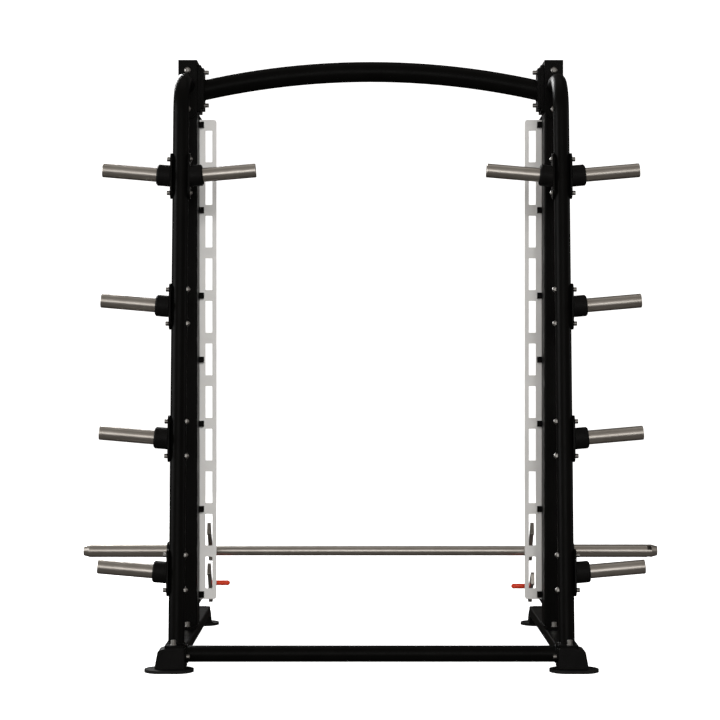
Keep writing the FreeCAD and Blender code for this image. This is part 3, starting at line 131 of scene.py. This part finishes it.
def tint(tree, value, dark, light):
    """Two colours blended by a noise value."""
    ramp = tree.nodes.new("ShaderNodeValToRGB")
    ramp.color_ramp.elements[0].position = 0.32
    ramp.color_ramp.elements[0].color = (*dark, 1)
    ramp.color_ramp.elements[1].position = 0.68
    ramp.color_ramp.elements[1].color = (*light, 1)
    tree.links.new(value, ramp.inputs["Fac"])
    return ramp.outputs["Color"]


def bump(tree, value, strength, distance, under=None):
    """A normal that a value raises and lowers, on top of the one under it."""
    node = tree.nodes.new("ShaderNodeBump")
    node.inputs["Strength"].default_value = strength
    node.inputs["Distance"].default_value = distance
    tree.links.new(value, node.inputs["Height"])
    if under is not None:
        tree.links.new(under, node.inputs["Normal"])
    return node.outputs["Normal"]


def soft_edges(tree, radius):
    """A normal that rounds sharp edges over a small radius."""
    node = tree.nodes.new("ShaderNodeBevel")
    node.samples = 6
    node.inputs["Radius"].default_value = radius
    return node.outputs["Normal"]


def painted(name, dark, light, roughness, peel, gloss):
    """Powder coat: orange peel, faint cloudiness and softened edges."""
    material, tree, shader = new_material(name)
    vector = coordinates(tree)
    tree.links.new(tint(tree, noise(tree, vector, 9), dark, light), shader.inputs["Base Color"])
    tree.links.new(spread(tree, noise(tree, vector, 24), roughness - 0.05, roughness + 0.05),
                   shader.inputs["Roughness"])
    shader.inputs["Specular IOR Level"].default_value = gloss
    grain = bump(tree, noise(tree, vector, 900, 2), peel, 0.0004, soft_edges(tree, 0.0012))
    tree.links.new(grain, shader.inputs["Normal"])
    return material


def brushed(name, dark, light, roughness, stretch, strength=0.06):
    """Bare steel with fine tool marks, closest together along the axis with the largest stretch."""
    material, tree, shader = new_material(name)
    marks = noise(tree, coordinates(tree, stretch), 260, 3, 0.7)
    clouds = noise(tree, coordinates(tree), 14, 3)
    tree.links.new(tint(tree, clouds, dark, light), shader.inputs["Base Color"])
    tree.links.new(spread(tree, marks, roughness - 0.04, roughness + 0.04), shader.inputs["Roughness"])
    shader.inputs["Metallic"].default_value = 1.0
    tree.links.new(bump(tree, marks, strength, 0.0002, soft_edges(tree, 0.0006)), shader.inputs["Normal"])
    return material


def moulded(name, dark, light, roughness, grain_scale, grain_strength, gloss):
    """Moulded plastic or rubber with a fine grain."""
    material, tree, shader = new_material(name)
    vector = coordinates(tree)
    tree.links.new(tint(tree, noise(tree, vector, 30), dark, light), shader.inputs["Base Color"])
    tree.links.new(spread(tree, noise(tree, vector, 60), roughness - 0.06, roughness + 0.06),
                   shader.inputs["Roughness"])
    shader.inputs["Specular IOR Level"].default_value = gloss
    rounded = soft_edges(tree, 0.0015)
    grain = bump(tree, noise(tree, vector, grain_scale, 3), grain_strength, 0.0005, rounded)
    tree.links.new(grain, shader.inputs["Normal"])
    return material


def sleeve_steel():
    """Bare turned steel that turns into black paint on the stop flange and the hub inside it."""
    material = brushed("sleeve_steel", *TURNED_STEEL, 0.32, (8, 1, 1), strength=0.02)
    tree = material.node_tree
    shader = next(node for node in tree.nodes if node.type == "BSDF_PRINCIPLED")
    colour = shader.inputs["Base Color"].links[0].from_socket
    split = tree.nodes.new("ShaderNodeSeparateXYZ")
    tree.links.new(tree.nodes.new("ShaderNodeTexCoord").outputs["Object"], split.inputs["Vector"])
    away = tree.nodes.new("ShaderNodeMath")
    away.operation = "ABSOLUTE"
    tree.links.new(split.outputs["X"], away.inputs[0])
    bare = tree.nodes.new("ShaderNodeMath")
    bare.operation = "GREATER_THAN"
    bare.inputs[1].default_value = FLANGE_FACE
    tree.links.new(away.outputs["Value"], bare.inputs[0])
    blend = tree.nodes.new("ShaderNodeMix")
    blend.data_type = "RGBA"
    blend.inputs["A"].default_value = (0.004, 0.004, 0.004, 1)
    tree.links.new(bare.outputs["Value"], blend.inputs["Factor"])
    tree.links.new(colour, blend.inputs["B"])
    tree.links.new(blend.outputs["Result"], shader.inputs["Base Color"])
    tree.links.new(bare.outputs["Value"], shader.inputs["Metallic"])
    shader.inputs["Specular IOR Level"].default_value = 0.1
    return material


materials = {
    "frame_paint": painted("frame_paint", (0.0018, 0.0017, 0.0016), (0.0026, 0.0025, 0.0023), 0.36, 0.08,
                           gloss=0.05),
    "latch_paint": painted("latch_paint", (0.675, 0.665, 0.645), (0.725, 0.715, 0.695), 0.42, 0.08,
                           gloss=0.3),
    "hook_steel": brushed("hook_steel", (0.42, 0.395, 0.365), (0.54, 0.515, 0.48), 0.33, (6, 1, 1)),
    "sleeve_steel": sleeve_steel(),
    "peg_steel": brushed("peg_steel", *TURNED_STEEL, 0.34, (8, 1, 1), strength=0.02),
    "bar_steel": brushed("bar_steel", *TURNED_STEEL, 0.34, (8, 1, 1), strength=0.02),
    "rod_chrome": brushed("rod_chrome", (0.74, 0.74, 0.75), (0.80, 0.80, 0.81), 0.10, (12, 12, 1),
                          strength=0.02),
    "zinc_steel": brushed("zinc_steel", (0.34, 0.33, 0.315), (0.44, 0.43, 0.41), 0.40, (1, 1, 1),
                          strength=0.04),
    "black_plastic": moulded("black_plastic", (0.0030, 0.0029, 0.0028), (0.0045, 0.0043, 0.0042), 0.50, 700,
                             0.25, gloss=0.08),
    "black_rubber": moulded("black_rubber", (0.007, 0.007, 0.0068), (0.011, 0.0108, 0.0105), 0.72, 420, 0.30,
                            gloss=0.1),
    "bearing_bronze": brushed("bearing_bronze", (0.52, 0.34, 0.15), (0.62, 0.42, 0.20), 0.30, (1, 8, 8)),
    "handle_grip": moulded("handle_grip", (0.66, 0.040, 0.010), (0.72, 0.052, 0.014), 0.32, 500, 0.10,
                           gloss=0.5),
}
SLOT_LOOKS = {slot["slot"]: slot["slot"] for slot in frame["record"]["materials"]}
SLOT_LOOKS["satin_steel"] = "peg_steel"
NODE_LOOKS = {
    "bar_shaft": "bar_steel",
    "bar_sleeve_left": "sleeve_steel",
    "bar_sleeve_right": "sleeve_steel",
}

for entry in frame["record"]["subparts"]:
    look = NODE_LOOKS.get(entry["node"], SLOT_LOOKS[entry["material_slot"]])
    part = frame["nodes"][entry["node"]]
    part.data.materials.clear()
    part.data.materials.append(materials[look])


# ---------------------------------------------------------------- weld beads under the paint

def weld_bead(name, path):
    """A rippled bead laid along a closed path, as a fillet weld looks under paint."""
    sides = 8
    edit = bmesh.new()
    rings = []
    count = len(path)
    for index, point in enumerate(path):
        along = (path[(index + 1) % count] - path[index - 1]).normalized()
        across = along.cross(Vector((0.31, 0.17, 0.93))).normalized()
        up = along.cross(across)
        size = BEAD * (1 + 0.12 * math.sin(index * 1.5) + random.uniform(-0.04, 0.04))
        turns = [2 * math.pi * side / sides for side in range(sides)]
        rings.append([edit.verts.new(point + size * (math.cos(turn) * across + math.sin(turn) * up))
                      for turn in turns])
    for index in range(count):
        near, far = rings[index - 1], rings[index]
        for side in range(sides):
            following = (side + 1) % sides
            edit.faces.new((near[side], near[following], far[following], far[side]))
    bmesh.ops.recalc_face_normals(edit, faces=edit.faces)
    mesh = bpy.data.meshes.new(name)
    edit.to_mesh(mesh)
    edit.free()
    for polygon in mesh.polygons:
        polygon.use_smooth = True
    mesh.materials.append(materials["frame_paint"])
    bead = bpy.data.objects.new(name, mesh)
    bpy.context.scene.collection.objects.link(bead)
    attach(bead, "frame")


def loop(centre, across, up, steps=96):
    """Closed ellipse round a centre, spanned by two half-axes."""
    return [centre + math.cos(2 * math.pi * step / steps) * across + math.sin(2 * math.pi * step / steps) * up
            for step in range(steps)]


def rectangle(low, high, corner, height):
    """Closed path with rounded corners round an upright box, at one height."""
    path = []
    for sign_x, sign_y, start in ((1, 1, 0), (-1, 1, 90), (-1, -1, 180), (1, -1, 270)):
        middle = Vector(((high[0] if sign_x > 0 else low[0]) - sign_x * corner,
                         (high[1] if sign_y > 0 else low[1]) - sign_y * corner, height))
        for step in range(7):
            angle = math.radians(start + 15 * step)
            path.append(middle + corner * Vector((math.cos(angle), math.sin(angle), 0)))
    dense = []
    for index, point in enumerate(path):
        following = path[(index + 1) % len(path)]
        pieces = max(1, round((following - point).length / BEAD_STEP))
        dense += [point.lerp(following, piece / pieces) for piece in range(pieces)]
    return dense


def make_beads():
    """Beads at the feet of the brace tubes and uprights, and at the ends of the cross tube and the arch."""
    rail_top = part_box("base_rail_right")[1][2]
    flange_top = rail_top + FLANGE_THICK
    for side, sign in (("left", -1), ("right", 1)):
        foot = BRACE_MIDDLE[0] + math.tan(BRACE_LEAN) * (flange_top - BRACE_MIDDLE[1])
        weld_bead(f"weld_brace_foot_{side}", loop(
            Vector((sign * POST_X, foot, flange_top)), Vector((sign * BRACE_RADIUS, 0, 0)),
            Vector((0, BRACE_RADIUS / math.cos(BRACE_LEAN), 0))))
        low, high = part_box(f"upright_{side}")
        middle = (sign * UPRIGHT_X, (low[1] + high[1]) / 2)
        weld_bead(f"weld_upright_foot_{side}", rectangle(
            (middle[0] - UPRIGHT_HALF[0], middle[1] - UPRIGHT_HALF[1]),
            (middle[0] + UPRIGHT_HALF[0], middle[1] + UPRIGHT_HALF[1]), UPRIGHT_CORNER, flange_top))
        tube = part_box("front_cross_tube")[1][0] - CROSS_FLANGE
        weld_bead(f"weld_cross_tube_{side}", loop(
            Vector((sign * tube, CROSS_MIDDLE[0], CROSS_MIDDLE[1])), Vector((0, CROSS_RADIUS, 0)),
            Vector((0, 0, CROSS_RADIUS))))
        low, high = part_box("arch_crossmember")
        tube = high[0] - ARCH_FLANGE
        slope = math.asin(tube / ARCH_CURVE)
        drop = ARCH_CURVE * (1 - math.cos(slope))
        weld_bead(f"weld_arch_{side}", loop(
            Vector((sign * tube, (low[1] + high[1]) / 2, ARCH_CREST - drop)), Vector((0, ARCH_RADIUS, 0)),
            Vector((0, 0, ARCH_RADIUS / math.cos(slope))), 120))


make_beads()


# ---------------------------------------------------------------- floor, light and camera

def make_stage():
    """A pale floor that curves up into a wall all round, as in a photographer's cove."""
    radius_floor, cove, wall = 14, 5, 14
    steps, sides = 10, 72
    profile = [(0, 0), (radius_floor, 0)]
    for step in range(1, steps + 1):
        angle = math.pi / 2 * step / steps
        profile.append((radius_floor + cove * math.sin(angle), cove * (1 - math.cos(angle))))
    profile.append((radius_floor + cove, wall))
    mesh = bpy.data.meshes.new("floor")
    edit = bmesh.new()
    centre = edit.verts.new((0, 0, 0))
    rings = []
    for radius, height in profile[1:]:
        rings.append([edit.verts.new((radius * math.cos(2 * math.pi * side / sides),
                                      radius * math.sin(2 * math.pi * side / sides), height))
                      for side in range(sides)])
    for side in range(sides):
        following = (side + 1) % sides
        edit.faces.new((centre, rings[0][side], rings[0][following]))
        for near, far in zip(rings, rings[1:]):
            edit.faces.new((near[side], far[side], far[following], near[following]))
    edit.to_mesh(mesh)
    edit.free()
    for polygon in mesh.polygons:
        polygon.use_smooth = True
    floor = bpy.data.objects.new("floor", mesh)
    bpy.context.scene.collection.objects.link(floor)
    floor.visible_glossy = False
    floor.visible_diffuse = False
    material, tree, shader = new_material("floor_white")
    vector = coordinates(tree)
    tree.links.new(tint(tree, noise(tree, vector, 0.6), (0.86, 0.86, 0.86), (0.88, 0.88, 0.88)),
                   shader.inputs["Base Color"])
    shader.inputs["Roughness"].default_value = 0.9
    shader.inputs["Specular IOR Level"].default_value = 0.0
    shader.inputs["Emission Color"].default_value = (1, 1, 1, 1)
    shader.inputs["Emission Strength"].default_value = FLOOR_GLOW
    mesh.materials.append(material)


def area_light(name, place, target, size, power, colour=(1, 1, 1), shine=True):
    """A rectangular lamp that faces a target. Without shine it lights, but reflections don't show it."""
    light = bpy.data.lights.new(name, "AREA")
    light.shape = "RECTANGLE"
    light.size, light.size_y = size
    light.energy = power
    light.color = colour
    lamp = bpy.data.objects.new(name, light)
    lamp.location = place
    lamp.rotation_euler = (Vector(target) - Vector(place)).to_track_quat("-Z", "Y").to_euler()
    lamp.visible_glossy = shine
    bpy.context.scene.collection.objects.link(lamp)


def make_lights():
    """A studio sky, dark below, bright in front and warm above, and large soft lamps."""
    world = bpy.data.worlds.new("studio")
    world.use_nodes = True
    tree = world.node_tree
    background = tree.nodes["Background"]
    source = tree.nodes.new("ShaderNodeTexCoord")
    split = tree.nodes.new("ShaderNodeSeparateXYZ")
    tree.links.new(source.outputs["Generated"], split.inputs["Vector"])
    ramp = tree.nodes.new("ShaderNodeValToRGB")
    scale = tree.nodes.new("ShaderNodeMapRange")
    scale.inputs["From Min"].default_value = -1
    tree.links.new(split.outputs["Z"], scale.inputs["Value"])
    tree.links.new(scale.outputs["Result"], ramp.inputs["Fac"])
    stops = ramp.color_ramp.elements
    stops[0].position, stops[0].color = SKY[0][0], (*SKY[0][1], 1)
    stops[1].position, stops[1].color = SKY[-1][0], (*SKY[-1][1], 1)
    for position, colour in SKY[1:-1]:
        stops.new(position).color = (*colour, 1)
    depth = tree.nodes.new("ShaderNodeMapRange")
    depth.inputs["From Min"].default_value = -0.2
    depth.inputs["From Max"].default_value = 0.6
    depth.inputs["To Min"].default_value = 1.0
    depth.inputs["To Max"].default_value = BACK_SKY
    tree.links.new(split.outputs["Y"], depth.inputs["Value"])
    dimmed = tree.nodes.new("ShaderNodeVectorMath")
    dimmed.operation = "SCALE"
    tree.links.new(ramp.outputs["Color"], dimmed.inputs[0])
    tree.links.new(depth.outputs["Result"], dimmed.inputs["Scale"])
    tree.links.new(dimmed.outputs["Vector"], background.inputs["Color"])
    background.inputs["Strength"].default_value = 1.0
    bpy.context.scene.world = world
    area_light("front", (0, -9.5, 1.6), (0, 0, 1.1), (5.5, 3.6), 110, (1, 0.99, 0.97))
    area_light("fill", (1.1, -8.0, 3.0), (0, 0, 1.0), (4, 3), 415, shine=False)
    area_light("left", (-6.0, -1.6, 2.4), (0, 0, 1.2), (4.0, 3.5), 190)
    area_light("right", (6.0, 0.8, 2.0), (0, 0, 1.2), (1.6, 3.0), 25)
    area_light("behind", (-3.2, 6.0, 5.2), (0, -0.2, 2.0), (3.0, 2.5), 420)
    area_light("top", (0, 0.4, 6.0), (0, 0, 0), (4, 3), 12, (1, 0.95, 0.9))


def make_camera():
    """A long lens at chest height, level and square to the machine."""
    data = bpy.data.cameras.new("camera")
    data.sensor_width = 36
    data.lens = 97.3
    data.clip_end = 200
    camera = bpy.data.objects.new("camera", data)
    camera.location = (-0.040, -7.33, 1.077)
    camera.rotation_euler = (math.pi / 2, 0, 0)
    bpy.context.scene.collection.objects.link(camera)
    bpy.context.scene.camera = camera


make_stage()
make_lights()
make_camera()
